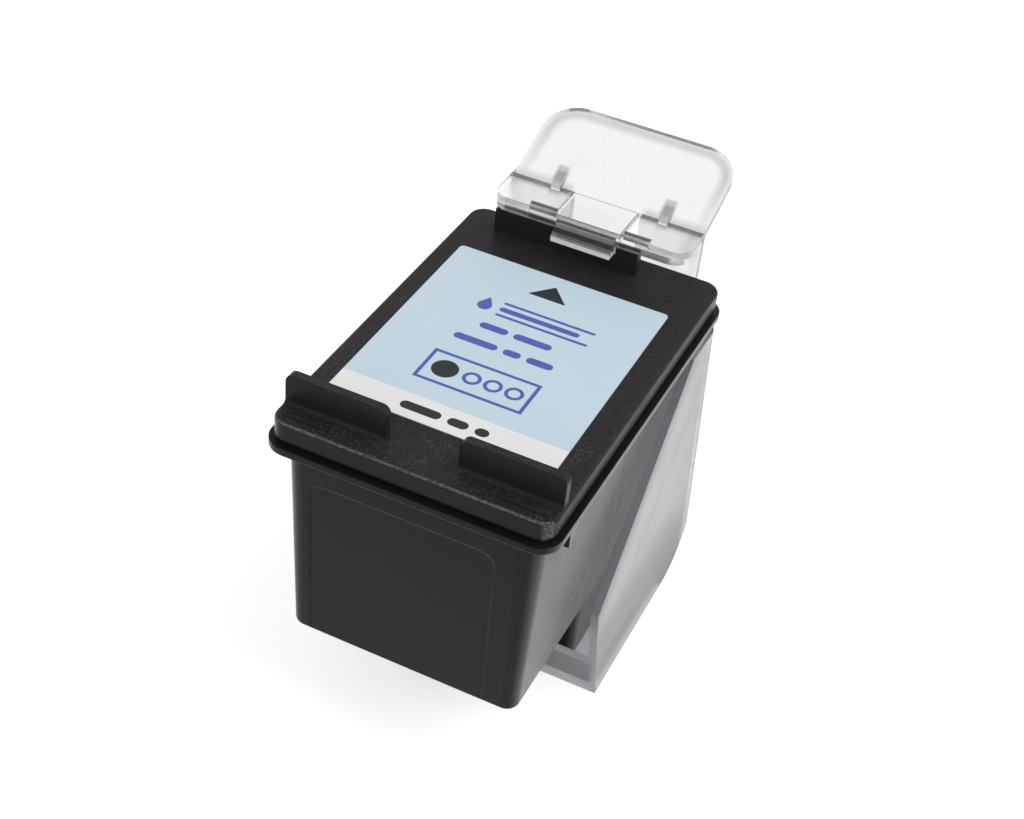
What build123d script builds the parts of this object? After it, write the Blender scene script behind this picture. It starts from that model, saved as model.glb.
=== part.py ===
from build123d import *
import math
import os

# Inkjet ink cartridge standing in its clear protective clip.
# Millimetres, +Z up, -Y is the front with the two grip fins.
# The origin is the centre of the clip's flat underside.

# Overall places
overall_height = 48.0          # clip underside to lid top
lid_front_to_origin = 35.0     # lid front edge to the origin, along Y

# Lid
lid_width = 36.0
lid_length = 54.4
lid_corner = 2.3
lid_height = 3.2
lid_plate = 1.6
lid_skirt = 2.2
lid_edge_round = 0.5
groove_height = 0.7
groove_depth = 0.5
rim_depth = 2.0
rim_wall = 1.2
rib_wall = 1.0
rib_depth = 3.0
rib_spacing = 8.0

# Grip fins
fin_setback = 3.6
fin_thickness = 1.2
fin_height = 4.1
fin_gap = 9.3
fin_side_setback = 0.25
fin_corner = 1.0
fin_foot_radius = 0.6
land_ridge_length = 6.0
land_ridge_width = 0.45
land_ridge_height = 0.3
land_ridge_setback = 1.5
land_ridge_side_setback = 1.2

# Latch rib near the lid's rear edge, which the clip's hook reaches over
latch_rib_left = -13.3
latch_rib_right = 7.2
latch_rib_setback = 49.8
latch_rib_thickness = 1.5
latch_rib_height = 3.6
latch_rib_round = 0.3

# Fill hole and vent in the lid
fill_hole = 3.0
fill_hole_y = 6.0
plug_clearance = 0.1
plug_cap_recess = 0.2
plug_chamfer = 0.35
vent_hole = 0.8
vent_hole_y = -4.0
vent_groove_width = 0.6
vent_groove_depth = 0.4
vent_run = 16.0
vent_turns = 4
vent_pitch = 1.6

# Label
label_width = 29.6
label_length = 35.65
label_thickness = 0.12
label_setback = 8.3
label_shift = -0.4
label_corner = 0.6

# Body shell
flange_overhang = 0.68
flange_thickness = 0.95
body_inset = 1.45              # lid side to body side wall, just under the flange
body_end_inset = 0.95          # lid end to body front or rear wall, there too
body_depth = 33.5              # lid top to the body's underside
body_draft = 1.85              # degrees
body_corner = 2.7
body_bottom_round = 0.6
body_wall = 1.3
body_floor = 1.5
panel_width = 24.2
panel_height = 26.0            # runs out at the body's underside
panel_top = 8.4                # lid top to the panel's upper edge
panel_shift = -0.8
panel_corner = 2.0
panel_recess = 0.1
lug_length = 6.0
lug_height = 4.6
lug_reach = 1.3
lug_tail_reach = 0.45
lug_setback = 7.0

# Snout, standpipe and ink channel
snout_width = 29.0
snout_front = 24.0             # lid front edge to the snout's front face
snout_height = 11.8            # body's underside to the snout's underside
snout_corner = 2.0
snout_rear_bend = 1.5
snout_floor = 2.0
standpipe_width = 24.0
standpipe_depth = 8.0
standpipe_wall = 1.3
standpipe_corner = 2.0
standpipe_rise = 1.5           # above the body's floor
channel_slot_width = 1.4
channel_end_margin = 1.0       # the slot's end to the die's end

# Printhead
die_length = 22.0
die_width = 3.4
die_thickness = 0.6
adhesive_thickness = 0.3
adhesive_band = 0.8
nozzle_plate_thickness = 0.1
nozzle_size = 0.3
nozzle_count = 18
nozzle_rows_apart = 1.4
feed_slot_width = 0.7
feed_end_margin = 2.0          # the die's end to its feed slot and nozzle rows
pocket_clearance = 0.5
printhead_y = 38.0             # lid front edge to the die's centre line
bead_width = 1.6
bead_height = 0.35
bead_round = 0.28

# Flex circuit
flex_thickness = 0.15
flex_width = 23.6
flex_top = 10.5                # lid top to the circuit's upper edge
flex_front_margin = 5.0        # the circuit's reach past the die's front edge
flex_window_margin = 0.6
copper_thickness = 0.08
pad_size = 1.3
pad_pitch_x = 2.4
pad_pitch_z = 2.0
pad_columns = 8
pad_rows = 6
pad_top_margin = 2.0
trace_width = 0.35

# Foam and filter
foam_clearance = 0.3
filter_thickness = 0.2
filter_hole = 1.1
filter_pitch = 1.7
filter_corner = 1.2

# Protective clip
clip_wall = 1.1
clip_side_flare = 1.35         # how far each side wall leans out down to the base
clip_rear_flare = 2.2          # how far the back wall leans out down to the base
clip_side_top = 7.5            # lid top to the side walls' upper edge
clip_clearance = 0.3           # between the clip and what it steadies
clip_front = 23.0              # lid front edge to the clip's foot
clip_front_lean = 2.5          # how far the front leans out up to the knee
clip_knee = 31.5               # lid top to the knee of the side walls
clip_slant_rear = 47.0         # lid front edge to the slant's upper end
clip_heel_radius = 11.0
clip_corner = 2.5
clip_front_wall_height = 6.0
clip_neck_width = 27.7
shelf_height = 5.9             # above the lid top
shelf_thickness = 1.1
shelf_front = 49.0             # lid front edge to the shelf's front edge
shelf_corner = 2.5
shelf_rim = 0.8
tongue_width = 9.0
tongue_slit = 0.6
tongue_slit_length = 4.0
tongue_slit_setback = 0.7
tongue_side_slit = 0.3
hook_width = 8.4
lip_front = 47.4               # lid front edge to the lip's front
lip_height = 0.8
lip_under = 2.85               # lid top to the lip's underside
flap_width = 27.6
flap_length = 13.55
flap_lean = 20.4               # degrees above level
flap_thickness = 1.1
flap_corner = 5.0
window_width = 9.8             # between the two halves of the neck
window_drop = 9.0              # how far the window reaches below the shelf
gusset_thickness = 1.3
gusset_reach = 2.4
gusset_height = 2.6
gusset_spacing = 15.6
clip_rib_wall = 1.0
clip_rib_gap = 1.4             # flex circuit's edge to the middle of a rib

# Seal pad
pad_clearance = 0.3
seal_width = 26.0
seal_depth = 9.0
seal_corner = 1.5

# Places worked out from the driving dimensions
lid_top = overall_height
lid_under = lid_top - lid_height
lid_front = -lid_front_to_origin
lid_rear = lid_front + lid_length
lid_middle = lid_front + lid_length / 2
draft_slope = math.tan(math.radians(body_draft))
flange_under = lid_under - flange_thickness
body_under = lid_top - body_depth
floor_top = body_under + body_floor
snout_under = body_under - snout_height
die_y = lid_front + printhead_y
clip_inner_rear = lid_rear + flange_overhang + clip_clearance
clip_rear = clip_inner_rear + clip_wall
standpipe_top = floor_top + standpipe_rise
filter_top = standpipe_top + filter_thickness
cavity_half = lid_width / 2 - body_inset - body_wall
clip_side_z = lid_top - clip_side_top
clip_top_half = lid_width / 2 - body_inset + clip_clearance + clip_wall
clip_base_half = clip_top_half + clip_side_flare
flex_reach = die_y - die_width / 2 - flex_front_margin


def wall_inset(z):
    """Lid side to the drafted side wall of the body at height z."""
    return body_inset + (flange_under - z) * draft_slope


def end_inset(z):
    """Lid end to the drafted front or rear wall of the body at height z."""
    return body_end_inset + (flange_under - z) * draft_slope


def rear_wall(z):
    return lid_rear - end_inset(z)


def front_wall(z):
    return lid_front + end_inset(z)


def drafted_block(z_low, z_high, offset, corner):
    """A block that follows the body's drafted walls, moved inward by offset."""
    width = lid_width - 2 * (wall_inset(z_high) + offset)
    length = lid_length - 2 * (end_inset(z_high) + offset)
    outline = RectangleRounded(width, length, corner)
    return extrude(Pos(0, lid_middle, z_high) * outline, z_low - z_high, taper=body_draft)


def upright_block(width, y_front, y_rear, z_low, z_high, corner):
    outline = RectangleRounded(width, y_rear - y_front, corner)
    return extrude(Pos(0, (y_front + y_rear) / 2, z_low) * outline, z_high - z_low)


def plain_block(x_low, x_high, y_low, y_high, z_low, z_high):
    corner = Pos((x_low + x_high) / 2, (y_low + y_high) / 2, (z_low + z_high) / 2)
    return corner * Box(x_high - x_low, y_high - y_low, z_high - z_low)


def side_profile(points):
    """A face in the YZ plane from (y, z) points."""
    return make_face(Polyline(*[(0, y, z) for y, z in points], close=True))


def across(face, x_low, x_high):
    """Extrude a YZ face from x_low to x_high."""
    return Pos(x_low, 0, 0) * extrude(face, x_high - x_low, dir=(1, 0, 0))


def make_snout():
    rear_low = rear_wall(snout_under)
    front = lid_front + snout_front
    profile = side_profile([
        (front, snout_under),
        (rear_low, snout_under),
        (rear_wall(floor_top), floor_top),
        (front, floor_top),
    ])
    snout = across(profile, -snout_width / 2, snout_width / 2)
    bend = snout.edges().filter_by(Axis.X).group_by(Axis.Z)[0].sort_by(Axis.Y)[-1]
    snout = fillet(bend, snout_rear_bend)
    front_corners = snout.edges().filter_by(Axis.Z).group_by(Axis.Y)[0]
    return fillet(front_corners, snout_corner)


def make_front_panel():
    """The shallow panel that is recessed in the front face."""
    z_middle = lid_top - panel_top - panel_height / 2
    angle = math.radians(body_draft)
    face_plane = Plane(
        origin=(panel_shift, front_wall(z_middle), z_middle),
        x_dir=(1, 0, 0),
        z_dir=(0, -math.cos(angle), -math.sin(angle)),
    )
    outline = face_plane * RectangleRounded(panel_width, panel_height, panel_corner)
    return extrude(outline, panel_recess, both=True)


def make_lug(side):
    """A short wedge under the flange, on the body's left or right wall."""
    z_low = flange_under - lug_height
    y_front = lid_front + lug_setback
    wall = lid_width / 2 - wall_inset(flange_under)
    buried = body_wall / 2
    outline = make_face(Polyline(
        (side * (wall - buried), y_front, z_low),
        (side * (wall + lug_reach), y_front, z_low),
        (side * (wall + lug_tail_reach), y_front + lug_length, z_low),
        (side * (wall - buried), y_front + lug_length, z_low),
        close=True,
    ))
    return extrude(outline, lug_height, dir=(0, 0, 1))


def make_standpipe():
    z_low = snout_under + snout_floor / 2
    y_front = die_y - standpipe_depth / 2
    y_rear = die_y + standpipe_depth / 2
    return upright_block(standpipe_width, y_front, y_rear, z_low, standpipe_top, standpipe_corner)


def make_ink_channel():
    """The passage from the filter down to the slot behind the die."""
    inner_width = standpipe_width - 2 * standpipe_wall
    inner_depth = standpipe_depth - 2 * standpipe_wall
    slot_top = snout_under + snout_floor
    upper = Pos(0, die_y, standpipe_top) * Rectangle(inner_width, inner_depth)
    slot_half = die_length / 2 - channel_end_margin
    middle = Pos(0, die_y, slot_top) * Rectangle(2 * slot_half, channel_slot_width)
    lower = plain_block(
        -slot_half, slot_half,
        die_y - channel_slot_width / 2, die_y + channel_slot_width / 2,
        snout_under, slot_top,
    )
    return loft([upper, middle]) + lower


def pocket_depth():
    return adhesive_thickness + die_thickness + nozzle_plate_thickness


def make_body_shell():
    outer = drafted_block(body_under, flange_under, 0, body_corner)
    bottom_edges = outer.edges().group_by(Axis.Z)[0]
    outer = fillet(bottom_edges, body_bottom_round)
    flange = upright_block(
        lid_width + 2 * flange_overhang,
        lid_front - flange_overhang, lid_rear + flange_overhang,
        flange_under, lid_under, lid_corner + flange_overhang,
    )
    shell = outer + flange + make_snout() + make_lug(-1) + make_lug(1)
    cavity = drafted_block(floor_top, flange_under, body_wall, body_corner - body_wall)
    mouth = upright_block(
        2 * cavity_half,
        lid_front + body_end_inset + body_wall, lid_rear - body_end_inset - body_wall,
        flange_under, lid_under, body_corner - body_wall,
    )
    snout_cavity = upright_block(
        snout_width - 2 * body_wall,
        lid_front + snout_front + body_wall, rear_wall(snout_under) - body_wall,
        snout_under + snout_floor, floor_top, snout_corner - body_wall,
    )
    shell = shell - cavity - mouth - snout_cavity
    shell = shell + make_standpipe() - make_ink_channel()
    pocket = plain_block(
        -(die_length + pocket_clearance) / 2, (die_length + pocket_clearance) / 2,
        die_y - (die_width + pocket_clearance) / 2, die_y + (die_width + pocket_clearance) / 2,
        snout_under, snout_under + pocket_depth(),
    )
    return shell - pocket - make_front_panel()


def make_fin(side):
    y_front = lid_front + fin_setback
    y_rear = y_front + fin_thickness
    root = lid_top - lid_edge_round
    foot_start = (0, y_front - fin_foot_radius, lid_top)
    foot_end = (0, y_front, lid_top + fin_foot_radius)
    sag = fin_foot_radius * (1 - math.sqrt(0.5))
    foot = ThreePointArc(foot_start, (0, y_front - sag, lid_top + sag), foot_end)
    rest = Polyline(
        foot_end,
        (0, y_front, lid_top + fin_height),
        (0, y_rear, lid_top + fin_height),
        (0, y_rear, root),
        (0, y_front - fin_foot_radius, root),
        foot_start,
    )
    section = make_face(Wire([foot, *rest.edges()]))
    x_inner = fin_gap / 2
    x_outer = lid_width / 2 - fin_side_setback
    fin = across(section, x_inner, x_outer)
    top_edges = fin.edges().filter_by(Axis.Y).group_by(Axis.Z)[-1]
    fin = fillet(top_edges, fin_corner)
    fin = fin & upright_block(
        lid_width, lid_front, lid_rear, root, lid_top + fin_height, lid_corner)
    return fin if side > 0 else mirror(fin, Plane.YZ)


def make_land_ridge(side):
    """A low moulded line on the land in front of a fin."""
    x_outer = lid_width / 2 - land_ridge_side_setback
    y_middle = lid_front + land_ridge_setback
    ridge = plain_block(
        x_outer - land_ridge_length, x_outer,
        y_middle - land_ridge_width / 2, y_middle + land_ridge_width / 2,
        lid_top - lid_edge_round, lid_top + land_ridge_height,
    )
    return ridge if side > 0 else mirror(ridge, Plane.YZ)


def make_latch_rib():
    y_front = lid_front + latch_rib_setback
    rib = plain_block(
        latch_rib_left, latch_rib_right, y_front, y_front + latch_rib_thickness,
        lid_top - lid_edge_round, lid_top + latch_rib_height,
    )
    return fillet(rib.edges().group_by(Axis.Z)[-1], latch_rib_round)


def make_vent_groove():
    """The serpentine air path under the label, from the vent hole."""
    z_low = lid_top - vent_groove_depth
    start_y = lid_middle + vent_hole_y
    groove = None
    for turn in range(vent_turns):
        y_low = start_y - turn * vent_pitch
        run = plain_block(
            -vent_run / 2, vent_run / 2,
            y_low - vent_groove_width / 2, y_low + vent_groove_width / 2, z_low, lid_top,
        )
        end = vent_run / 2 if turn % 2 == 0 else -vent_run / 2
        link = plain_block(
            end - vent_groove_width / 2, end + vent_groove_width / 2,
            y_low - vent_pitch, y_low, z_low, lid_top,
        )
        groove = run if groove is None else groove + run
        if turn < vent_turns - 1:
            groove = groove + link
    hole = Pos(-vent_run / 2, start_y, lid_top - lid_plate) * Cylinder(
        vent_hole / 2, lid_plate, align=(Align.CENTER, Align.CENTER, Align.MIN))
    return groove + hole


def make_lid_ribs():
    """Ribs that press the foam block down from under the lid."""
    z_low = lid_under - rib_depth
    z_high = lid_top - lid_plate
    half_length = lid_length / 2 - lid_skirt - rib_wall
    ribs = None
    for x in (-rib_spacing, 0, rib_spacing):
        rib = plain_block(
            x - rib_wall / 2, x + rib_wall / 2,
            lid_middle - half_length, lid_middle + half_length, z_low, z_high,
        )
        ribs = rib if ribs is None else ribs + rib
    return ribs


def lid_rim_block(offset, corner):
    """A block that fills the body's mouth, moved inward by a clearance and offset."""
    side_gap = body_inset + body_wall + plug_clearance + offset
    end_gap = body_end_inset + body_wall + plug_clearance + offset
    return upright_block(
        lid_width - 2 * side_gap, lid_front + end_gap, lid_rear - end_gap,
        lid_under - rim_depth, lid_top - lid_plate, corner,
    )


def make_lid():
    plate = upright_block(lid_width, lid_front, lid_rear, lid_under, lid_top, lid_corner)
    top_edges = plate.edges().group_by(Axis.Z)[-1]
    plate = fillet(top_edges, lid_edge_round)
    hollow = upright_block(
        lid_width - 2 * lid_skirt, lid_front + lid_skirt, lid_rear - lid_skirt,
        lid_under, lid_top - lid_plate, lid_corner - lid_skirt,
    )
    groove_outer = upright_block(
        lid_width, lid_front, lid_rear, lid_under, lid_under + groove_height, lid_corner)
    groove_inner = upright_block(
        lid_width - 2 * groove_depth, lid_front + groove_depth, lid_rear - groove_depth,
        lid_under, lid_under + groove_height, lid_corner - groove_depth,
    )
    rim_outer = lid_rim_block(0, body_corner - body_wall)
    rim_inner = lid_rim_block(rim_wall, (body_corner - body_wall) / 2)
    lid = plate - hollow - (groove_outer - groove_inner)
    lid = lid + (rim_outer - rim_inner) + make_lid_ribs()
    lid = lid + make_fin(-1) + make_fin(1) + make_land_ridge(-1) + make_land_ridge(1)
    lid = lid + make_latch_rib()
    hole_height = lid_height + rib_depth
    hole = Pos(0, lid_middle + fill_hole_y, lid_top) * Cylinder(
        fill_hole / 2, hole_height, align=(Align.CENTER, Align.CENTER, Align.MAX))
    return lid - hole - make_vent_groove()


def make_fill_plug():
    z_high = lid_top - plug_cap_recess
    radius = fill_hole / 2 - plug_clearance
    plug = Pos(0, lid_middle + fill_hole_y, z_high) * Cylinder(
        radius, lid_plate + rib_wall, align=(Align.CENTER, Align.CENTER, Align.MAX))
    return chamfer(plug.edges().group_by(Axis.Z)[0], plug_chamfer)


def make_label():
    y_front = lid_front + label_setback
    outline = RectangleRounded(label_width, label_length, label_corner)
    return extrude(Pos(label_shift, y_front + label_length / 2, lid_top) * outline, label_thickness)


def make_foam_block():
    z_low = floor_top + foam_clearance
    z_high = lid_under - rib_depth - foam_clearance
    block = drafted_block(z_low, z_high, body_wall + foam_clearance, body_corner - body_wall)
    seat = upright_block(
        standpipe_width + 2 * foam_clearance,
        die_y - standpipe_depth / 2 - foam_clearance, die_y + standpipe_depth / 2 + foam_clearance,
        z_low, filter_top, standpipe_corner + foam_clearance,
    )
    return block - seat


def make_filter_screen():
    width = standpipe_width - standpipe_wall
    depth = standpipe_depth - standpipe_wall
    screen = upright_block(
        width, die_y - depth / 2, die_y + depth / 2, standpipe_top, filter_top, filter_corner)
    columns = int((width - 2 * standpipe_wall) / filter_pitch)
    rows = int((depth - standpipe_wall) / filter_pitch)
    cutters = [
        Pos(x, y, standpipe_top) * Box(
            filter_hole, filter_hole, filter_thickness, align=(Align.CENTER, Align.CENTER, Align.MIN))
        for x in [filter_pitch * (i - (columns - 1) / 2) for i in range(columns)]
        for y in [die_y + filter_pitch * (j - (rows - 1) / 2) for j in range(rows)]
    ]
    return screen - cutters


def circuit_band(z_high, y_reach, inner, outer, x_low, x_high):
    """A strip on the rear wall and round the snout's edge, between two offsets from it."""
    def path(offset):
        top = (0, rear_wall(z_high) + offset, z_high)
        corner = (0, rear_wall(snout_under - offset) + offset, snout_under - offset)
        end = (0, y_reach, snout_under - offset)
        return FilletPolyline(top, corner, end, radius=snout_rear_bend + offset)
    near = path(inner)
    far = path(outer)
    ends = [Line(near @ 0, far @ 0), Line(near @ 1, far @ 1)]
    face = make_face(Wire(list(near.edges()) + list(far.edges()) + [e.edge() for e in ends]))
    return across(face, x_low, x_high)


def make_flex_circuit():
    half = flex_width / 2
    band = circuit_band(lid_top - flex_top, flex_reach, 0, flex_thickness, -half, half)
    window_x = die_length / 2 + flex_window_margin
    window_y = die_width / 2 + flex_window_margin
    window = plain_block(
        -window_x, window_x, die_y - window_y, die_y + window_y,
        snout_under - flex_thickness, snout_under,
    )
    return band - window


def pad_places():
    """Centres of the contact pads, as (x, z), in two banks with a gap between them."""
    places = []
    for column in range(pad_columns):
        x = pad_pitch_x * (column - (pad_columns - 1) / 2)
        for row in range(pad_rows):
            places.append((x, lid_top - flex_top - pad_top_margin - row * pad_pitch_z))
    return places


def make_contact_pads():
    pads = []
    angle = math.radians(body_draft)
    for x, z in pad_places():
        pad_plane = Plane(
            origin=(x, rear_wall(z) + flex_thickness, z),
            x_dir=(-1, 0, 0),
            z_dir=(0, math.cos(angle), -math.sin(angle)),
        )
        outline = pad_plane * Rectangle(pad_size, pad_size)
        pads.append(extrude(outline, copper_thickness))
    return Compound(children=pads)


def make_copper_traces():
    """One trace a column, from under its lowest pad to the rear edge of the die."""
    z_high = lid_top - flex_top - pad_top_margin - pad_rows * pad_pitch_z + pad_pitch_z / 4
    y_reach = die_y + die_width / 2 + flex_window_margin + bead_width / 2
    traces = []
    for column in range(pad_columns):
        x = pad_pitch_x * (column - (pad_columns - 1) / 2)
        traces.append(circuit_band(
            z_high, y_reach, flex_thickness, flex_thickness + copper_thickness,
            x - trace_width / 2, x + trace_width / 2,
        ))
    return Compound(children=traces)


def die_layer(z_low, z_high, margin):
    return plain_block(
        -die_length / 2 + margin, die_length / 2 - margin,
        die_y - die_width / 2 + margin, die_y + die_width / 2 - margin, z_low, z_high,
    )


def make_die_adhesive():
    z_high = snout_under + pocket_depth()
    z_low = z_high - adhesive_thickness
    return die_layer(z_low, z_high, 0) - die_layer(z_low, z_high, adhesive_band)


def make_printhead_die():
    z_low = snout_under + nozzle_plate_thickness
    z_high = z_low + die_thickness
    feed_half = die_length / 2 - feed_end_margin
    feed = plain_block(
        -feed_half, feed_half,
        die_y - feed_slot_width / 2, die_y + feed_slot_width / 2, z_low, z_high,
    )
    return die_layer(z_low, z_high, 0) - feed


def make_nozzle_plate():
    z_low = snout_under
    plate = die_layer(z_low, z_low + nozzle_plate_thickness, 0)
    pitch = (die_length - 2 * feed_end_margin) / nozzle_count
    bores = [
        Pos(pitch * (i - (nozzle_count - 1) / 2), die_y + row * nozzle_rows_apart / 2, z_low)
        * Box(nozzle_size, nozzle_size, nozzle_plate_thickness,
              align=(Align.CENTER, Align.CENTER, Align.MIN))
        for i in range(nozzle_count)
        for row in (-1, 1)
    ]
    return plate - bores


def make_bead(end):
    """Encapsulant over the die's bonded end, at its left or right."""
    x_middle = end * (die_length / 2 + flex_window_margin / 2)
    depth = die_width + 2 * flex_window_margin
    z_high = snout_under - flex_thickness
    bead = Pos(x_middle, die_y, z_high) * Box(
        bead_width, depth, bead_height, align=(Align.CENTER, Align.CENTER, Align.MAX))
    low_edges = bead.edges().group_by(Axis.Z)[0]
    return fillet(low_edges, bead_round)


def clip_back(z, offset):
    """The leaning back wall's place at height z, moved inward by offset."""
    return clip_rear + clip_rear_flare * (1 - z / clip_side_z) - offset


def clip_block(offset):
    """The cap's leaning side walls and back wall, moved inward by offset."""
    y_front = lid_front + clip_front - clip_front_lean - 2 * clip_wall
    base_half = clip_base_half - offset
    top_half = clip_top_half - offset
    seen_from_front = make_face(Polyline(
        (-base_half, y_front, 0),
        (base_half, y_front, 0),
        (top_half, y_front, clip_side_z),
        (-top_half, y_front, clip_side_z),
        close=True,
    ))
    seen_from_side = side_profile([
        (y_front, 0),
        (clip_back(0, offset), 0),
        (clip_back(clip_side_z, offset), clip_side_z),
        (y_front, clip_side_z),
    ])
    block = extrude(seen_from_front, clip_back(0, offset) - y_front, dir=(0, 1, 0))
    block = block & across(seen_from_side, -base_half, base_half)
    upright = block.edges().filter_by(Axis.X, reverse=True).filter_by(Axis.Y, reverse=True)
    return fillet(upright.sort_by(Axis.Y)[-2:], clip_corner - offset)


def clip_side_face(offset):
    """The cap's outline seen from the side, moved inward by offset."""
    foot = lid_front + clip_front + offset
    knee = foot - clip_front_lean
    z_knee = lid_top - clip_knee
    slant = lid_front + clip_slant_rear + offset
    rear_low = clip_back(offset, offset)
    rear_high = clip_back(clip_side_z, offset)
    face = side_profile([
        (foot, offset), (rear_low, offset), (rear_high, clip_side_z), (slant, clip_side_z), (knee, z_knee)])
    heel = face.vertices().sort_by(Axis.Y)[-1]
    return fillet(heel, clip_heel_radius - offset)


def make_clip_cap():
    """The cap round the snout, with its side walls, back wall and low front wall."""
    half = 2 * clip_base_half
    outer = clip_block(0) & across(clip_side_face(0), -half, half)
    inner = clip_block(clip_wall)
    hollow = inner & across(clip_side_face(clip_wall), -half, half)
    sill = clip_front_wall_height
    above_sill = plain_block(-half, half, lid_front, clip_inner_rear, sill, lid_top)
    return outer - hollow - (inner & above_sill)


def make_clip_neck():
    """The narrower wall above the cap, up to the fold, with a window behind the hook."""
    z_low = clip_side_z - clip_corner
    z_high = lid_top + shelf_height
    neck = plain_block(
        -clip_neck_width / 2, clip_neck_width / 2, clip_inner_rear, clip_rear, z_low, z_high)
    window = plain_block(
        -window_width / 2, window_width / 2, clip_inner_rear, clip_rear,
        z_high - window_drop, z_high - shelf_thickness,
    )
    return neck - window


def make_clip_shelf():
    """The level plate over the lid's rear edge, with a turned-down front rim."""
    z_high = lid_top + shelf_height
    z_low = z_high - shelf_thickness
    y_front = lid_front + shelf_front
    outline = Pos(0, (y_front + clip_rear) / 2, z_low - shelf_rim) * Rectangle(
        clip_neck_width, clip_rear - y_front)
    outline = fillet(outline.vertices().group_by(Axis.Y)[0], shelf_corner)
    shelf = extrude(outline, shelf_thickness + shelf_rim)
    hollow = plain_block(
        -clip_neck_width / 2, clip_neck_width / 2, y_front + clip_wall, clip_rear,
        z_low - shelf_rim, z_low,
    )
    shelf = shelf - hollow
    y_slit = y_front + tongue_slit_setback
    for side in (-1, 1):
        x_slit = side * (tongue_width + tongue_slit_length) / 2
        shelf = shelf - plain_block(
            x_slit - tongue_slit_length / 2, x_slit + tongue_slit_length / 2,
            y_slit, y_slit + tongue_slit, z_low - shelf_rim, z_high,
        )
        x_side = side * (tongue_width + tongue_side_slit) / 2
        shelf = shelf - plain_block(
            x_side - tongue_side_slit / 2, x_side + tongue_side_slit / 2,
            y_slit, clip_inner_rear, z_low, z_high,
        )
    return shelf


def make_clip_tongue():
    """The hook that reaches down in front of the latch rib."""
    y_shelf = lid_front + shelf_front
    y_lip = lid_front + lip_front
    y_catch = lid_front + latch_rib_setback - clip_clearance
    z_high = lid_top + shelf_height - shelf_thickness / 2
    z_lip = lid_top + lip_under
    section = side_profile([
        (y_lip, z_lip),
        (y_catch, z_lip),
        (y_catch, z_lip + lip_height),
        (y_lip + clip_wall, z_lip + lip_height),
        (y_shelf + clip_wall, z_high - shelf_thickness / 2),
        (y_shelf + clip_wall, z_high),
        (y_shelf, z_high),
        (y_lip, z_lip + lip_height),
    ])
    return across(section, -hook_width / 2, hook_width / 2)


def make_clip_flap():
    """The thumb flap, from the fold upward and back, with two gussets under it."""
    angle = math.radians(flap_lean)
    flap_plane = Plane(
        origin=(0, clip_rear, lid_top + shelf_height),
        x_dir=(1, 0, 0),
        z_dir=(0, -math.sin(angle), math.cos(angle)),
    )
    root = clip_wall / 2
    outline = Pos(0, (flap_length - root) / 2, 0) * Rectangle(flap_width, flap_length + root)
    far_corners = outline.vertices().group_by(Axis.Y)[-1]
    outline = fillet(far_corners, flap_corner)
    flap = extrude(flap_plane * outline, -flap_thickness)
    z_fold = lid_top + shelf_height
    rise = gusset_reach * math.tan(angle)
    gusset_face = side_profile([
        (clip_rear - clip_wall / 2, z_fold - gusset_height),
        (clip_rear, z_fold - gusset_height),
        (clip_rear + gusset_reach, z_fold + rise - flap_thickness),
        (clip_rear + gusset_reach, z_fold + rise - flap_thickness / 2),
        (clip_rear - clip_wall / 2, z_fold - flap_thickness / 2),
    ])
    for side in (-1, 1):
        x_middle = side * gusset_spacing / 2
        flap = flap + across(
            gusset_face, x_middle - gusset_thickness / 2, x_middle + gusset_thickness / 2)
    return flap


def make_clip_rib(side):
    """A rib on the back wall that steadies the cartridge's rear wall."""
    z_high = clip_side_z - clip_wall
    z_low = clip_heel_radius
    section = side_profile([
        (rear_wall(z_low) + clip_clearance, z_low),
        (clip_back(z_low, clip_wall / 2), z_low),
        (clip_back(z_high, clip_wall / 2), z_high),
        (rear_wall(z_high) + clip_clearance, z_high),
    ])
    x_middle = side * (flex_width / 2 + clip_rib_gap)
    return across(section, x_middle - clip_rib_wall / 2, x_middle + clip_rib_wall / 2)


def make_protective_clip():
    clip = make_clip_cap() + make_clip_neck() + make_clip_shelf()
    clip = clip + make_clip_tongue() + make_clip_flap()
    return clip + make_clip_rib(-1) + make_clip_rib(1)


def make_seal_pad():
    z_high = snout_under - flex_thickness - bead_height - pad_clearance
    return upright_block(
        seal_width, die_y - seal_depth / 2, die_y + seal_depth / 2, clip_wall, z_high, seal_corner)


nodes = {
    "body_shell": make_body_shell,
    "lid": make_lid,
    "label": make_label,
    "fill_plug": make_fill_plug,
    "foam_block": make_foam_block,
    "filter_screen": make_filter_screen,
    "flex_circuit": make_flex_circuit,
    "contact_pads": make_contact_pads,
    "copper_traces": make_copper_traces,
    "die_adhesive": make_die_adhesive,
    "printhead_die": make_printhead_die,
    "nozzle_plate": make_nozzle_plate,
    "left_bead": lambda: make_bead(-1),
    "right_bead": lambda: make_bead(1),
    "protective_clip": make_protective_clip,
    "seal_pad": make_seal_pad,
}

os.makedirs("parts", exist_ok=True)
for name, make in nodes.items():
    export_step(make(), "parts/" + name + ".step")
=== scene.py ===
import math

import bpy
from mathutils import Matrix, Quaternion, Vector


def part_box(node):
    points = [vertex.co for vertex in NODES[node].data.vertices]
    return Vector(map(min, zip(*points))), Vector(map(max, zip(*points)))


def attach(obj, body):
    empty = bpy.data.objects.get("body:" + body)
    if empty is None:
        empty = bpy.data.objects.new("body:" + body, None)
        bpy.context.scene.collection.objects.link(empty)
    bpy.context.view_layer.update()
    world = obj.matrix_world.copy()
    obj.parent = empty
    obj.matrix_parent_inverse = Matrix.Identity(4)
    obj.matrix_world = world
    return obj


# Looks of an inkjet cartridge that stands in its clear protective clip.
# Metres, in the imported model's frame: +Z up, -Y is the front with the grip fins.
# A pair named as a fade gives the two places between which a look changes.
# A pair named as a band or as sides gives the two places between which a zone lies.

MM = 0.001

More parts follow.
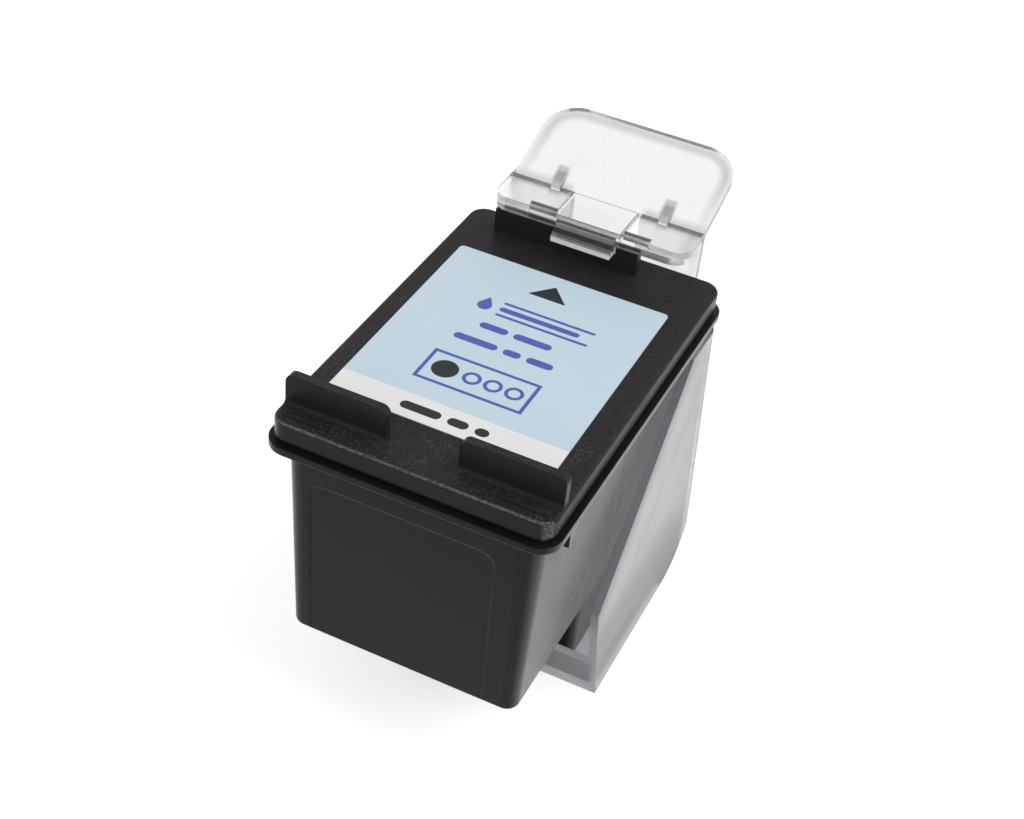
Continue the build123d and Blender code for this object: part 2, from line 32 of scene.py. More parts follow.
# Camera, from the photograph's perspective
CAMERA_PLACE = Vector((63.34, -166.71, 174.77)) * MM
CAMERA_AIM = Vector((5.38, -18.76, 48.0)) * MM
CAMERA_ROLL = 6.51                      # degrees
CAMERA_LENS = 61.04                     # millimetres
SENSOR_WIDTH = 36                       # millimetres
CAMERA_NEAR = 0.01
CAMERA_FAR = 20

# Floor and sky
FLOOR_HALF = 3.0
FLOOR_WHITE = 0.78
FLOOR_GLOW = 0.55                       # what the floor adds for camera and mirror rays
SKY_SEEN = 1.0
SKY_THROUGH = 0.8                       # in mirrors and through the clear clip
SKY_DIFFUSE = 0.55

# A wide lamp on the right and a small one in front on the left
KEY_PLACE = (0.8, 0.2, 0.95)
KEY_AIM = (0.01, 0, 0.02)
KEY_SIZE = 1.2
KEY_POWER = 8.5
FRONT_PLACE = (-0.65, -0.6, 0.8)
FRONT_AIM = (0, -0.02, 0.04)
FRONT_SIZE = 0.35
FRONT_POWER = 2.5

# Black plastics
BLACK_PLASTIC = (0.009, 0.0065, 0.008)
LID_PLASTIC = (0.021, 0.019, 0.0205)
BODY_GLOSS_TINT = (1, 0.86, 0.97, 1)
LID_GLOSS_TINT = (1, 0.88, 0.97, 1)
# Lighter colour of cloudy smudges on the left and right sides, which also paints in the bright reflection
# those sides show
SMUDGE_AND_SIDE_REFLECTION = (0.07, 0.07, 0.071)
# Colour of the painted glints in specks on the lid's grain and along its rounded front edge
PAINTED_GLINT = (0.13, 0.13, 0.13)
EDGE_ROUNDING = 0.25 * MM
GRAIN_AND_GLINT_FADE = (-22 * MM, 6 * MM)       # strongest in front
EDGE_TURN_BAND = (-0.88, -0.4)          # the normal's Y on a rounded front edge

# Label film and ink
LABEL_BLUE = (0.5, 0.66, 0.78)
DEEPER_BLUE = (0.51, 0.635, 0.725)
PALER_BLUE = (0.55, 0.665, 0.75)
BAND_WHITE = (0.77, 0.77, 0.765)
BAND_DEPTH = 4.3 * MM
PRINT_LIFT = 0.02 * MM                  # how far the ink stands on the film
BLUE = (0.06, 0.1, 0.36)
BLACK = (0.012, 0.015, 0.018)

# Clear plastic
CLEAR = (0.86, 0.865, 0.87)
CLEAR_IOR = 1.35
LOW_GREY = (0.3, 0.3, 0.32)
MILKY_WHITE = (0.95, 0.955, 0.955)
UPPER_GREY = (0.73, 0.735, 0.74)
# Grey of the painted shade behind the slanted front edges of the side walls, and of a painted dark streak
# further behind
SLANT_SHADE_GREY = (0.42, 0.4, 0.45)
# Grey of the painted shade on the front faces of the clip's cap
FRONT_EDGE_SHADE = (0.2, 0.185, 0.215)
SHADOW_TINT = (0.92, 0.925, 0.93, 1)
# Greys painted by zone on the clip's upper part: painted shade in its rim, fold, gusset, slots, bend,
# hook and ramp, a painted highlight on the hook's lip, and a lighter grey on the shelf
ZONE_PAINTED_LIGHT_AND_SHADE = {
    "shelf": 0.9,
    "rim": 0.5,
    "fold": 0.5,
    "gusset": 0.3,
    "slot": 0.06,
    "bend": 0.12,
    "hook": 0.7,
    "ramp": 0.08,
    "lip": 0.95,
}

# The clip's thumb flap and the slant of its side walls, as in the solid
FOLD_Y = 21.48 * MM
FOLD_Z = 53.9 * MM
FLAP_LEAN = math.radians(20.4)
FLAP_HALF = 13.8 * MM
FLAP_LENGTH = 13.55 * MM
FLAP_CORNER = 5 * MM
KNEE_Y = -14.5 * MM
KNEE_Z = 16.5 * MM
SLANT = math.radians(42.2)

# Places on the clip's upper part
NECK_FADE = (44 * MM, 50 * MM)
SHELF_FADE = (52.3 * MM, 52.7 * MM)
SHELF_REAR_FADE = (20 * MM, 21 * MM)
FINGER_SIDE_FADE = (4.7 * MM, 5.6 * MM)
RIM_BAND = (FLAP_CORNER - 1.6 * MM, FLAP_CORNER - 0.3 * MM)
RIM_FADE = (1 * MM, 10 * MM)
FOLD_BAND = (19.6 * MM, 22 * MM)
GUSSET_FADE = (50.5 * MM, 51.5 * MM)
GUSSET_SIDES = (7 * MM, 8.6 * MM)
GUSSET_BAND = (21.6 * MM, 24.3 * MM)
SLOT_SIDES = (4.6 * MM, 8.6 * MM)
SLOT_BAND = (15.1 * MM, 15.5 * MM)
BEND_BAND = (13.9 * MM, 14.3 * MM)
HOOK_REAR_FADE = (14 * MM, 14.1 * MM)
HOOK_FADE = (49 * MM, 50 * MM)
LIP_TOP_FADE = (51.5 * MM, 51.65 * MM)
LIP_REAR_FADE = (12.5 * MM, 12.7 * MM)
RAMP_BAND = (51.7 * MM, 53 * MM)

# Places on the clip's cap
CAP_FADE = (40 * MM, 44 * MM)
MILKY_FADE = (2 * MM, 16 * MM)
CLEARING_FADE = (30 * MM, 42 * MM)
FRONT_EDGE_FADE = (8 * MM, 16 * MM)
SLANT_SHADOW_FADE = (0.6 * MM, 3.4 * MM)
SLANT_STREAK_BAND = (8 * MM, 9.2 * MM)
BACK_WALL_FADE = (18 * MM, 19.5 * MM)

# Print, in millimetres from the lid's front left corner
# A bar or a line is given by its left, right, front and rear.
ARROW = ((15.0, 38.65), (20.19, 38.65), (17.56, 41.7))
EMBLEM_DROP = (11.4, 33.3)
EMBLEM_DROP_RADIUS = 0.95
EMBLEM_REAR_BAR = (13.4, 26.0, 34.75, 35.2)
EMBLEM_FRONT_BAR = (13.4, 26.0, 32.05, 32.5)
EMBLEM_MIDDLE_BAR = (13.4, 24.4, 33.15, 34.05)
UPPER_LINE = (12.7, 22.5, 28.75, 29.95)
LOWER_LINE = (10.9, 24.3, 25.2, 26.4)
BAND_LINE = (11.7, 23.2, 9.7, 11.1)
FRAME_LEFT = 10.35
FRAME_RIGHT = 24.7
FRAME_FRONT = 15.75
FRAME_REAR = 22.0
FRAME_LINE = 0.45
ROUND_ROW_Y = 18.87
DOT_X = 13.2
DOT_RADIUS = 1.7
RING_X = (16.8, 19.6, 22.4)
RING_OUTER = 1.2
RING_INNER = 0.75
WORD_GAP = 0.8
BAND_WORD_GAP = 0.9

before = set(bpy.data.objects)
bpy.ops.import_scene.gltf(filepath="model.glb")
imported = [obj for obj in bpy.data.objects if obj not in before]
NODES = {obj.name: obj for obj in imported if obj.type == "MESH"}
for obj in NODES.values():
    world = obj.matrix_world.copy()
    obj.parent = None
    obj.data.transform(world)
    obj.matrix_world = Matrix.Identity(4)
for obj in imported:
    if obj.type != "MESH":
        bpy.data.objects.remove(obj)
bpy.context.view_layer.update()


def add_node(tree, kind, **settings):
    """A shader node with its named properties set."""
    made = tree.nodes.new(kind)
    for key, value in settings.items():
        setattr(made, key, value)
    return made


def link(tree, source, target):
    """Joins one node's output to another's input."""
    tree.links.new(source, target)


def plain_material(name, colour, roughness, metallic=0.0, specular=0.5):
    """A Principled material whose even values sit on the shader's own sockets."""
    material = bpy.data.materials.new(name)
    material.use_nodes = True
    shader = material.node_tree.nodes["Principled BSDF"]
    shader.inputs["Base Color"].default_value = (*colour, 1)
    shader.inputs["Roughness"].default_value = roughness
    shader.inputs["Metallic"].default_value = metallic
    shader.inputs["Specular IOR Level"].default_value = specular
    return material, material.node_tree, shader


def place_of(tree):
    """The point on the surface, in the part's frame."""
    return add_node(tree, "ShaderNodeTexCoord").outputs["Object"]


def along(tree, axis):
    """The place along one axis of the part's frame."""
    split = add_node(tree, "ShaderNodeSeparateXYZ")
    link(tree, place_of(tree), split.inputs["Vector"])
    return split.outputs[axis]


def facing(tree, axis):
    """The surface normal's part along one axis."""
    split = add_node(tree, "ShaderNodeSeparateXYZ")
    link(tree, add_node(tree, "ShaderNodeNewGeometry").outputs["Normal"], split.inputs["Vector"])
    return split.outputs[axis]


def noise(tree, size, detail=2.0, stretch=(1, 1, 1), roughness=0.5, turn=0.0):
    """Noise from 0 to 1 with features about size metres across, stretched and turned about X."""
    mapping = add_node(tree, "ShaderNodeMapping")
    mapping.inputs["Scale"].default_value = stretch
    mapping.inputs["Rotation"].default_value = (turn, 0, 0)
    link(tree, place_of(tree), mapping.inputs["Vector"])
    made = add_node(tree, "ShaderNodeTexNoise")
    made.inputs["Scale"].default_value = 1 / size
    made.inputs["Detail"].default_value = detail
    made.inputs["Roughness"].default_value = roughness
    link(tree, mapping.outputs["Vector"], made.inputs["Vector"])
    return made.outputs["Fac"]


def spread(tree, value, low, high, from_low=0.3, from_high=0.7):
    """Maps value from one range to another, held at its ends."""
    made = add_node(tree, "ShaderNodeMapRange")
    made.inputs["From Min"].default_value = from_low
    made.inputs["From Max"].default_value = from_high
    made.inputs["To Min"].default_value = low
    made.inputs["To Max"].default_value = high
    link(tree, value, made.inputs["Value"])
    return made.outputs["Result"]


def above(tree, value, fade):
    """Zero before the fade and one past it."""
    return spread(tree, value, 0, 1, *fade)


def below(tree, value, fade):
    """One before the fade and zero past it."""
    return spread(tree, value, 1, 0, *fade)


def combine(tree, operation, *values):
    """A Math node on values, each a socket or a number."""
    made = add_node(tree, "ShaderNodeMath", operation=operation)
    for socket, value in zip(made.inputs, values):
        if isinstance(value, (int, float)):
            socket.default_value = value
        else:
            link(tree, value, socket)
    return made.outputs["Value"]


def product(tree, first, *others):
    """All values multiplied."""
    for other in others:
        first = combine(tree, "MULTIPLY", first, other)
    return first


def minus(tree, first, second):
    """The first value less the second."""
    return combine(tree, "SUBTRACT", first, second)


def larger(tree, first, second):
    """The larger of two values."""
    return combine(tree, "MAXIMUM", first, second)


def between(tree, value, band, soft):
    """One where value lies in the band, with ends that fade over soft."""
    low, high = band
    rising = above(tree, value, (low - soft / 2, low + soft / 2))
    falling = below(tree, value, (high - soft / 2, high + soft / 2))
    return product(tree, rising, falling)


def tint(tree, factor, dark, light):
    """A colour between dark and light, each a socket or a colour."""
    made = add_node(tree, "ShaderNodeMix", data_type="RGBA")
    sockets = [socket for socket in made.inputs if socket.type == "RGBA"]
    for socket, colour in zip(sockets, (dark, light)):
        if isinstance(colour, tuple):
            socket.default_value = (*colour, 1)
        else:
            link(tree, colour, socket)
    link(tree, factor, made.inputs[0])
    return [socket for socket in made.outputs if socket.type == "RGBA"][0]


def bump(tree, height, shader, distance, rounding=0.0):
    """Bumps in the shader's normal, over edges that look rounded by the given radius."""
    made = add_node(tree, "ShaderNodeBump")
    if rounding:
        bevel = add_node(tree, "ShaderNodeBevel", samples=4)
        bevel.inputs["Radius"].default_value = rounding
        link(tree, bevel.outputs["Normal"], made.inputs["Normal"])
    made.inputs["Distance"].default_value = distance
    made.inputs["Strength"].default_value = 1.0
    link(tree, height, made.inputs["Height"])
    link(tree, made.outputs["Normal"], shader.inputs["Normal"])


def facing_up(tree):
    """One on faces that look up."""
    return above(tree, facing(tree, "Z"), (0.6, 0.95))


def facing_side(tree):
    """One on faces that look left or right."""
    return above(tree, combine(tree, "ABSOLUTE", facing(tree, "X")), (0.6, 0.95))


def facing_front(tree):
    """One on faces that look to the front."""
    return below(tree, facing(tree, "Y"), (-0.4, -0.2))


def on_front_edge(tree):
    """One on the lid's rounded front edge and on top of its fins."""
    turned = between(tree, facing(tree, "Y"), EDGE_TURN_BAND, soft=0.1)
    low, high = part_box("lid")
    foremost = below(tree, along(tree, "Y"), (low.y + 1.2 * MM, low.y + 1.6 * MM))
    topmost = above(tree, along(tree, "Z"), (high.z - 1.2 * MM, high.z - 0.8 * MM))
    return product(tree, turned, larger(tree, foremost, topmost))


def make_body_plastic():
    """Satin black moulding with a thin haze, and cloudy smudges on its left and right sides whose lighter
    colour also paints in their bright reflection.
    """
    material, tree, shader = plain_material("body_plastic", BLACK_PLASTIC, 0.34, specular=0.12)
    shader.inputs["Specular Tint"].default_value = BODY_GLOSS_TINT
    shader.inputs["Sheen Weight"].default_value = 0.5
    shader.inputs["Sheen Roughness"].default_value = 0.3
    cloud = noise(tree, 7 * MM, detail=4, stretch=(1, 1, 0.6), roughness=0.6)
    fine = noise(tree, 0.35 * MM)
    cloudy = spread(tree, cloud, low=0.6, high=1, from_low=0.38, from_high=0.66)
    # Smudges on faces that look left or right; their lighter colour is partly painted reflection
    smudge_and_side_reflection = product(tree, facing_side(tree), cloudy)
    link(tree, tint(tree, smudge_and_side_reflection, BLACK_PLASTIC, SMUDGE_AND_SIDE_REFLECTION), shader.inputs["Base Color"])
    uneven = spread(tree, fine, low=-0.03, high=0.03)
    rough = combine(tree, "ADD", spread(tree, cloud, low=0.24, high=0.4), uneven)
    link(tree, rough, shader.inputs["Roughness"])
    bump(tree, fine, shader, 0.01 * MM, EDGE_ROUNDING)
    return material


def make_lid_plastic():
    """Black moulding with a fine grain on its upper faces, and painted glints in its colour on that grain
    and along its rounded front edge.
    """
    material, tree, shader = plain_material("lid_plastic", LID_PLASTIC, 0.3, specular=0.08)
    shader.inputs["Specular Tint"].default_value = LID_GLOSS_TINT
    cloud = noise(tree, 6 * MM, detail=4)
    grain = noise(tree, 0.3 * MM, detail=3, roughness=0.7)
    speck = noise(tree, 0.28 * MM, detail=3, roughness=0.7)
    towards_front = spread(tree, along(tree, "Y"), 1, 0.2, *GRAIN_AND_GLINT_FADE)
    grained = product(tree, facing_up(tree), towards_front)
    rough = minus(tree, spread(tree, cloud, low=0.24, high=0.34), product(tree, grained, 0.12))
    link(tree, rough, shader.inputs["Roughness"])
    patch = spread(tree, noise(tree, 4 * MM), low=0.3, high=1, from_low=0.4, from_high=0.6)
    # Painted glints: lighter specks on the upper faces' grain and along the rounded front edge, in place
    # of highlights
    painted_sparkle = spread(tree, speck, low=0, high=0.55, from_low=0.53, from_high=0.68)
    painted_edge_glint = spread(tree, speck, low=0.25, high=1, from_low=0.42, from_high=0.58)
    painted_glints = larger(tree, product(tree, grained, patch, painted_sparkle), product(tree, on_front_edge(tree), painted_edge_glint))
    link(tree, tint(tree, painted_glints, LID_PLASTIC, PAINTED_GLINT), shader.inputs["Base Color"])
    share = combine(tree, "MULTIPLY_ADD", grained, 0.9, 0.1)
    bump(tree, product(tree, grain, share), shader, 0.2 * MM, EDGE_ROUNDING)
    return material


def make_label_film():
    """Pale blue film with a white band along its front edge."""
    material, tree, shader = plain_material("label_film", LABEL_BLUE, 0.42)
    low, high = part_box("label")
    band = combine(tree, "LESS_THAN", along(tree, "Y"), low.y + BAND_DEPTH)
    fibre = noise(tree, 0.5 * MM, detail=3)
    wide = noise(tree, 14 * MM)
    blue = tint(tree, wide, DEEPER_BLUE, PALER_BLUE)
    link(tree, tint(tree, band, blue, BAND_WHITE), shader.inputs["Base Color"])
    link(tree, spread(tree, fibre, low=0.36, high=0.48), shader.inputs["Roughness"])
    bump(tree, wide, shader, 0.05 * MM)
    return material


def make_ink(name, colour):
    """Printing ink on the label."""
    material, tree, shader = plain_material(name, colour, 0.45, specular=0.25)
    speck = noise(tree, 0.25 * MM)
    lighter = tuple(min(1, channel * 1.25 + 0.01) for channel in colour)
    link(tree, tint(tree, speck, colour, lighter), shader.inputs["Base Color"])
    return material


def out_from_flap(tree, across, reach):
    """How far a point lies outside the flap's middle, which ends a corner's radius from its edge."""
    past_side = larger(tree, minus(tree, across, FLAP_HALF - FLAP_CORNER), 0)
    past_end = larger(tree, minus(tree, reach, FLAP_LENGTH - FLAP_CORNER), 0)
    squares = combine(tree, "ADD", product(tree, past_side, past_side), product(tree, past_end, past_end))
    return combine(tree, "SQRT", squares)


def upper_zones(tree):
    """Masks by name for the clip's shelf, flap and hook, each one there and nothing elsewhere."""
    across = combine(tree, "ABSOLUTE", along(tree, "X"))
    y = along(tree, "Y")
    z = along(tree, "Z")
    rise = product(tree, minus(tree, z, FOLD_Z), math.sin(FLAP_LEAN))
    reach = combine(tree, "MULTIPLY_ADD", minus(tree, y, FOLD_Y), math.cos(FLAP_LEAN), rise)
    upper = above(tree, z, NECK_FADE)
    over_shelf = above(tree, z, SHELF_FADE)
    beside = above(tree, across, FINGER_SIDE_FADE)
    hook = product(tree, below(tree, y, HOOK_REAR_FADE), above(tree, z, HOOK_FADE))
    on_rim = between(tree, out_from_flap(tree, across, reach), RIM_BAND, soft=0.9 * MM)
    gusset_sides = between(tree, across, GUSSET_SIDES, soft=0.4 * MM)
    gusset_ends = between(tree, y, GUSSET_BAND, soft=0.5 * MM)
    slot_sides = between(tree, across, SLOT_SIDES, soft=0.2 * MM)
    slot_ends = between(tree, y, SLOT_BAND, soft=0.1 * MM)
    bend_ends = between(tree, y, BEND_BAND, soft=0.1 * MM)
    return {
        "upper": upper,
        "shelf": product(tree, over_shelf, beside, below(tree, y, SHELF_REAR_FADE)),
        "rim": product(tree, upper, on_rim, spread(tree, reach, 0.35, 1, *RIM_FADE)),
        "fold": product(tree, over_shelf, beside, between(tree, y, FOLD_BAND, soft=0.9 * MM)),
        "gusset": product(tree, above(tree, z, GUSSET_FADE), gusset_sides, gusset_ends),
        "slot": product(tree, over_shelf, slot_sides, slot_ends),
        "bend": product(tree, over_shelf, minus(tree, 1, beside), bend_ends),
        "hook": hook,
        "ramp": product(tree, hook, between(tree, z, RAMP_BAND, soft=0.15 * MM)),
        "lip": product(tree, hook, below(tree, z, LIP_TOP_FADE), below(tree, y, LIP_REAR_FADE)),
    }


def behind_slant(tree, z):
    """How far a point lies behind the slanted edge of the side walls."""
    ahead = minus(tree, along(tree, "Y"), KNEE_Y)
    aloft = product(tree, minus(tree, z, KNEE_Z), math.cos(SLANT))
    return combine(tree, "MULTIPLY_ADD", ahead, math.sin(SLANT), product(tree, aloft, -1))


def clear_in_shadow(tree, shader):
    """Lets light through the plastic for shadow rays."""
    clear = add_node(tree, "ShaderNodeBsdfTransparent")
    clear.inputs["Color"].default_value = SHADOW_TINT
    path = add_node(tree, "ShaderNodeLightPath")
    mix = add_node(tree, "ShaderNodeMixShader")
    link(tree, path.outputs["Is Shadow Ray"], mix.inputs[0])
    link(tree, shader.outputs["BSDF"], mix.inputs[1])
    link(tree, clear.outputs["BSDF"], mix.inputs[2])
    link(tree, mix.outputs["Shader"], tree.nodes["Material Output"].inputs["Surface"])


def make_clear_plastic():
    """Clear moulding with a milky haze and soft streaks, with painted shade in its rim, fold, hook,
    behind the slanted edges of its side walls and on its front faces, and a painted highlight on the
    hook's lip.
    """
    material, tree, shader = plain_material("clear_plastic", CLEAR, 0.2)
    shader.inputs["IOR"].default_value = CLEAR_IOR
    streak = noise(tree, 3.2 * MM, detail=3, stretch=(0.6, 0.14, 1), roughness=0.6, turn=-SLANT)
    cloud = noise(tree, 9 * MM, detail=3)
    z = along(tree, "Z")
    zones = upper_zones(tree)
    cap = below(tree, z, CAP_FADE)
    front_edge = product(tree, facing_front(tree), cap)
    level = minus(tree, above(tree, z, MILKY_FADE), spread(tree, z, 0, 0.12, *CLEARING_FADE))
    uneven = product(tree, spread(tree, streak, low=0.8, high=1), spread(tree, cloud, low=0.86, high=1))
    haze = product(tree, level, uneven)
    behind = behind_slant(tree, z)
    # Painted shade just behind the side walls' slanted front edges, and a painted dark streak in a band
    # further behind
    shadow = product(tree, cap, spread(tree, behind, 0.85, 0, *SLANT_SHADOW_FADE))
    on_streak = between(tree, behind, SLANT_STREAK_BAND, soft=1.4 * MM)
    painted_streak_shade = product(tree, cap, on_streak, spread(tree, cloud, low=0, high=0.5))
    # Painted shade on the cap's front faces, weaker low down
    painted_front_edge_shade = product(tree, front_edge, spread(tree, z, 0.3, 1, *FRONT_EDGE_FADE))

    colour = tint(tree, haze, LOW_GREY, MILKY_WHITE)
    colour = tint(tree, zones["upper"], colour, UPPER_GREY)
    colour = tint(tree, larger(tree, shadow, painted_streak_shade), colour, SLANT_SHADE_GREY)
    colour = tint(tree, painted_front_edge_shade, colour, FRONT_EDGE_SHADE)
    # Painted shade and a painted highlight, zone by zone
    for zone, shade in ZONE_PAINTED_LIGHT_AND_SHADE.items():
        colour = tint(tree, zones[zone], colour, (shade, shade, shade * 1.01))
    link(tree, colour, shader.inputs["Base Color"])

    back = above(tree, along(tree, "Y"), BACK_WALL_FADE)
    clearer = larger(tree, zones["upper"], product(tree, back, 1.35))
    rough = minus(tree, spread(tree, streak, low=0.3, high=0.46), product(tree, clearer, 0.18))
    rough = minus(tree, rough, product(tree, zones["hook"], 0.08))
    link(tree, rough, shader.inputs["Roughness"])

    hook_body = minus(tree, zones["hook"], zones["lip"])
    passing = spread(tree, streak, low=0.8, high=0.9)
    # Less light passes the lip, so its painted highlight shows white
    passing = minus(tree, passing, product(tree, zones["lip"], 0.6))
    passing = combine(tree, "MULTIPLY_ADD", hook_body, 0.15, passing)
    passing = combine(tree, "MULTIPLY_ADD", back, 0.06, passing)
    passing = minus(tree, passing, product(tree, front_edge, 0.35))
    link(tree, passing, shader.inputs["Transmission Weight"])
    clear_in_shadow(tree, shader)
    return material


def make_simple(name, colour, roughness, metallic=0.0, grain=0.4):
    """A small part's finish, with fine noise of grain millimetres in its colour, gloss and surface."""
    material, tree, shader = plain_material(name, colour, roughness, metallic)
    fine = noise(tree, grain * MM, detail=3)
    darker = tuple(channel * 0.75 for channel in colour)
    link(tree, tint(tree, fine, darker, colour), shader.inputs["Base Color"])
    link(tree, spread(tree, fine, roughness * 0.8, roughness * 1.2), shader.inputs["Roughness"])
    bump(tree, fine, shader, 0.01 * MM)
    return material


MATERIALS = {
    "body_shell": make_body_plastic(),
    "lid": make_lid_plastic(),
    "label": make_label_film(),
    "fill_plug": make_simple("plug_rubber", (0.03, 0.03, 0.03), 0.6),
    "foam_block": make_simple("ink_foam", (0.02, 0.02, 0.025), 0.9),
    "filter_screen": make_simple("filter_mesh", (0.6, 0.6, 0.6), 0.35, metallic=1.0),
    "flex_circuit": make_simple("polyimide", (0.55, 0.24, 0.035), 0.25, grain=1.5),
    "contact_pads": make_simple("gold_pads", (0.85, 0.62, 0.25), 0.25, metallic=1.0),
    "copper_traces": make_simple("copper", (0.72, 0.38, 0.2), 0.3, metallic=1.0),
    "die_adhesive": make_simple("adhesive", (0.1, 0.1, 0.1), 0.6),
    "printhead_die": make_simple("silicon", (0.2, 0.2, 0.24), 0.15, metallic=0.6),
    "nozzle_plate": make_simple("nozzle_metal", (0.8, 0.62, 0.3), 0.3, metallic=1.0),
    "left_bead": make_simple("left_encapsulant", (0.03, 0.025, 0.02), 0.15),
    "right_bead": make_simple("right_encapsulant", (0.03, 0.025, 0.02), 0.15),
    "protective_clip": make_clear_plastic(),
    "seal_pad": make_simple("seal_foam", (0.12, 0.12, 0.13), 0.85),
}
for node_name, finish in MATERIALS.items():
    for material_slot in NODES[node_name].material_slots:
        material_slot.material = finish


def prism(name, outlines, z_low, z_high, material):
    """A closed mesh of upright prisms, one for each outline of (x, y) points."""
    points = []
    faces = []
    for outline in outlines:
        start = len(points)
        count = len(outline)
        points += [(x, y, z_low) for x, y in outline] + [(x, y, z_high) for x, y in outline]
        faces.append([start + i for i in reversed(range(count))])
        faces.append([start + count + i for i in range(count)])
        for i in range(count):
            after = (i + 1) % count
            faces.append([start + i, start + after, start + count + after, start + count + i])
    mesh = bpy.data.meshes.new(name)
    mesh.from_pydata(points, [], faces)
    mesh.materials.append(material)
    made = bpy.data.objects.new(name, mesh)
    bpy.context.scene.collection.objects.link(made)
    return made


def arc(x, y, radius, start, end, steps):
    """Points on a circle from one angle to another, in degrees."""
    angles = [math.radians(start + (end - start) * i / steps) for i in range(steps + 1)]
    return [(x + radius * math.cos(a), y + radius * math.sin(a)) for a in angles]


def bar(x_low, x_high, y_low, y_high, steps=8):
    """A bar with round ends."""
    radius = (y_high - y_low) / 2
    y = (y_low + y_high) / 2
    right = arc(x_high - radius, y, radius, -90, 90, steps)
    left = arc(x_low + radius, y, radius, 90, 270, steps)
    return right + left


def rectangle(x_low, x_high, y_low, y_high):
    """A rectangle's corners."""
    return [(x_low, y_low), (x_high, y_low), (x_high, y_high), (x_low, y_high)]


def drop(x, y, radius, steps=20):
    """A drop that points to the rear."""
    round_part = arc(x, y, radius, 150, 390, steps)
    return round_part + [(x, y + 2 * radius)]


def ring(x, y, outer, inner, steps=32):
    """A ring as a chain of four-sided pieces."""
    pieces = []
    for i in range(steps):
        a = 2 * math.pi * i / steps
        b = 2 * math.pi * (i + 1) / steps
        pieces.append([
            (x + inner * math.cos(a), y + inner * math.sin(a)),
            (x + outer * math.cos(a), y + outer * math.sin(a)),
            (x + outer * math.cos(b), y + outer * math.sin(b)),
            (x + inner * math.cos(b), y + inner * math.sin(b)),
        ])
    return pieces


def word_bars(x_low, x_high, y_low, y_high, shares, gap):
    """A row of bars that fills a text line's place, split by the given shares."""
    room = x_high - x_low - gap * (len(shares) - 1)
    total = sum(shares)
    outlines = []
    x = x_low
    for share in shares:
        width = room * share / total
        outlines.append(bar(x, x + width, y_low, y_high))
        x += width + gap
    return outlines


def frame_bars(left, right, front, rear, line):
    """A frame's front and rear lines, and its left and right lines between them."""
    return [
        rectangle(left, right, front, front + line),
        rectangle(left, right, rear - line, rear),
        rectangle(left, left + line, front + line, rear - line),
        rectangle(right - line, right, front + line, rear - line),
    ]


def on_label(x, y):
    """A place in millimetres from the lid's front left corner, in the part's frame."""
    low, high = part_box("lid")
    return low.x + x * MM, low.y + y * MM


def add_print(name, outlines, material):
    """Prints the outlines on the label."""
    placed = [[on_label(x, y) for x, y in outline] for outline in outlines]
    z_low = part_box("label")[1].z
    made = prism(name, placed, z_low, z_low + PRINT_LIFT, material)
    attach(made, "root")


blue_ink = make_ink("blue_ink", BLUE)
black_ink = make_ink("black_ink", BLACK)
emblem = [
    drop(*EMBLEM_DROP, EMBLEM_DROP_RADIUS),
    bar(*EMBLEM_REAR_BAR),
    bar(*EMBLEM_FRONT_BAR),
    bar(*EMBLEM_MIDDLE_BAR),
]
upper_line = word_bars(*UPPER_LINE, shares=(3, 4), gap=WORD_GAP)
lower_line = word_bars(*LOWER_LINE, shares=(5, 2, 3), gap=WORD_GAP)
band_line = word_bars(*BAND_LINE, shares=(6, 3, 2), gap=BAND_WORD_GAP)
frame_lines = frame_bars(FRAME_LEFT, FRAME_RIGHT, FRAME_FRONT, FRAME_REAR, FRAME_LINE)
dot = arc(DOT_X, ROUND_ROW_Y, DOT_RADIUS, 0, 350, 35)
rings = [piece for x in RING_X for piece in ring(x, ROUND_ROW_Y, RING_OUTER, RING_INNER)]
add_print("arrow_print", [ARROW], black_ink)
add_print("emblem_print", emblem, blue_ink)
add_print("upper_line_print", upper_line, blue_ink)
add_print("lower_line_print", lower_line, blue_ink)
add_print("frame_print", frame_lines, blue_ink)
add_print("dot_print", [dot], black_ink)
add_print("ring_print", rings, blue_ink)
add_print("band_print", band_line, black_ink)


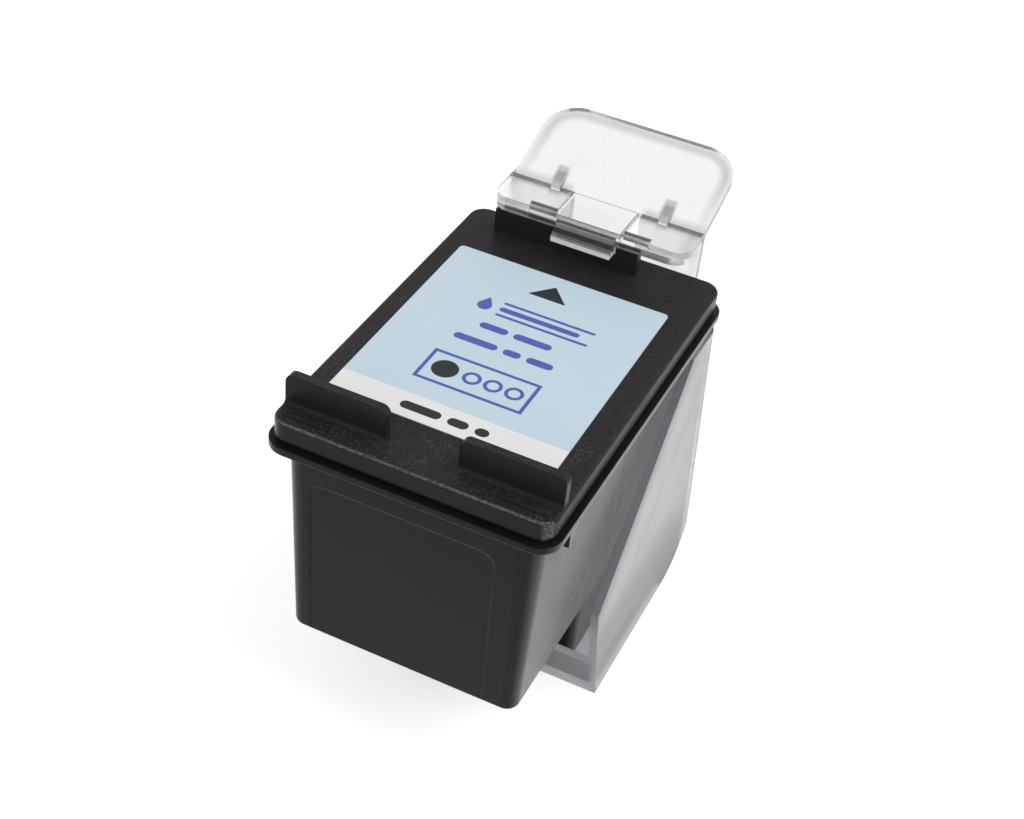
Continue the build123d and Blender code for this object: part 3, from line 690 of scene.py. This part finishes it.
def make_floor():
    """A pale floor that reads near white and keeps a soft shadow."""
    mesh = bpy.data.meshes.new("floor")
    corners = rectangle(-FLOOR_HALF, FLOOR_HALF, -FLOOR_HALF, FLOOR_HALF)
    mesh.from_pydata([(x, y, 0) for x, y in corners], [], [(0, 1, 2, 3)])
    floor = bpy.data.objects.new("floor", mesh)
    bpy.context.scene.collection.objects.link(floor)
    white = (FLOOR_WHITE, FLOOR_WHITE, FLOOR_WHITE)
    material, tree, shader = plain_material("floor", white, 0.9, specular=0.0)
    glow = add_node(tree, "ShaderNodeEmission")
    glow.inputs["Color"].default_value = (1, 1, 1, 1)
    path = add_node(tree, "ShaderNodeLightPath")
    seen = larger(tree, path.outputs["Is Camera Ray"], path.outputs["Is Glossy Ray"])
    link(tree, product(tree, seen, FLOOR_GLOW), glow.inputs["Strength"])
    both = add_node(tree, "ShaderNodeAddShader")
    link(tree, shader.outputs["BSDF"], both.inputs[0])
    link(tree, glow.outputs["Emission"], both.inputs[1])
    link(tree, both.outputs["Shader"], tree.nodes["Material Output"].inputs["Surface"])
    mesh.materials.append(material)


def make_sky():
    """An even white sky, dimmer in mirrors and through the clip, and dimmer still as light."""
    world = bpy.data.worlds.new("studio")
    bpy.context.scene.world = world
    world.use_nodes = True
    tree = world.node_tree
    sky = tree.nodes["Background"]
    sky.inputs["Color"].default_value = (1, 1, 1, 1)
    path = add_node(tree, "ShaderNodeLightPath")
    indirect = larger(tree, path.outputs["Is Glossy Ray"], path.outputs["Is Transmission Ray"])
    lit = spread(tree, indirect, SKY_DIFFUSE, SKY_THROUGH, 0, 1)
    seen = product(tree, path.outputs["Is Camera Ray"], SKY_SEEN)
    link(tree, larger(tree, lit, seen), sky.inputs["Strength"])


def make_lamp(name, place, aim, size, power):
    """A round lamp that points from its place to its aim."""
    lamp = bpy.data.lights.new(name, "AREA")
    lamp.shape = "DISK"
    lamp.size = size
    lamp.energy = power
    made = bpy.data.objects.new(name, lamp)
    bpy.context.scene.collection.objects.link(made)
    made.location = place
    made.rotation_mode = "QUATERNION"
    made.rotation_quaternion = (Vector(aim) - Vector(place)).to_track_quat("-Z", "Y")


def make_camera():
    """The photograph's camera, turned about its own axis by its roll."""
    camera = bpy.data.cameras.new("camera")
    camera.lens = CAMERA_LENS
    camera.sensor_width = SENSOR_WIDTH
    camera.clip_start = CAMERA_NEAR
    camera.clip_end = CAMERA_FAR
    made = bpy.data.objects.new("camera", camera)
    bpy.context.scene.collection.objects.link(made)
    made.location = CAMERA_PLACE
    made.rotation_mode = "QUATERNION"
    aim = (CAMERA_AIM - CAMERA_PLACE).to_track_quat("-Z", "Y")
    made.rotation_quaternion = aim @ Quaternion((0, 0, 1), math.radians(CAMERA_ROLL))
    bpy.context.scene.camera = made


make_floor()
make_sky()
make_lamp("key", KEY_PLACE, KEY_AIM, KEY_SIZE, KEY_POWER)
make_lamp("front", FRONT_PLACE, FRONT_AIM, FRONT_SIZE, FRONT_POWER)
make_camera()
bpy.context.scene.view_settings.view_transform = "Standard"
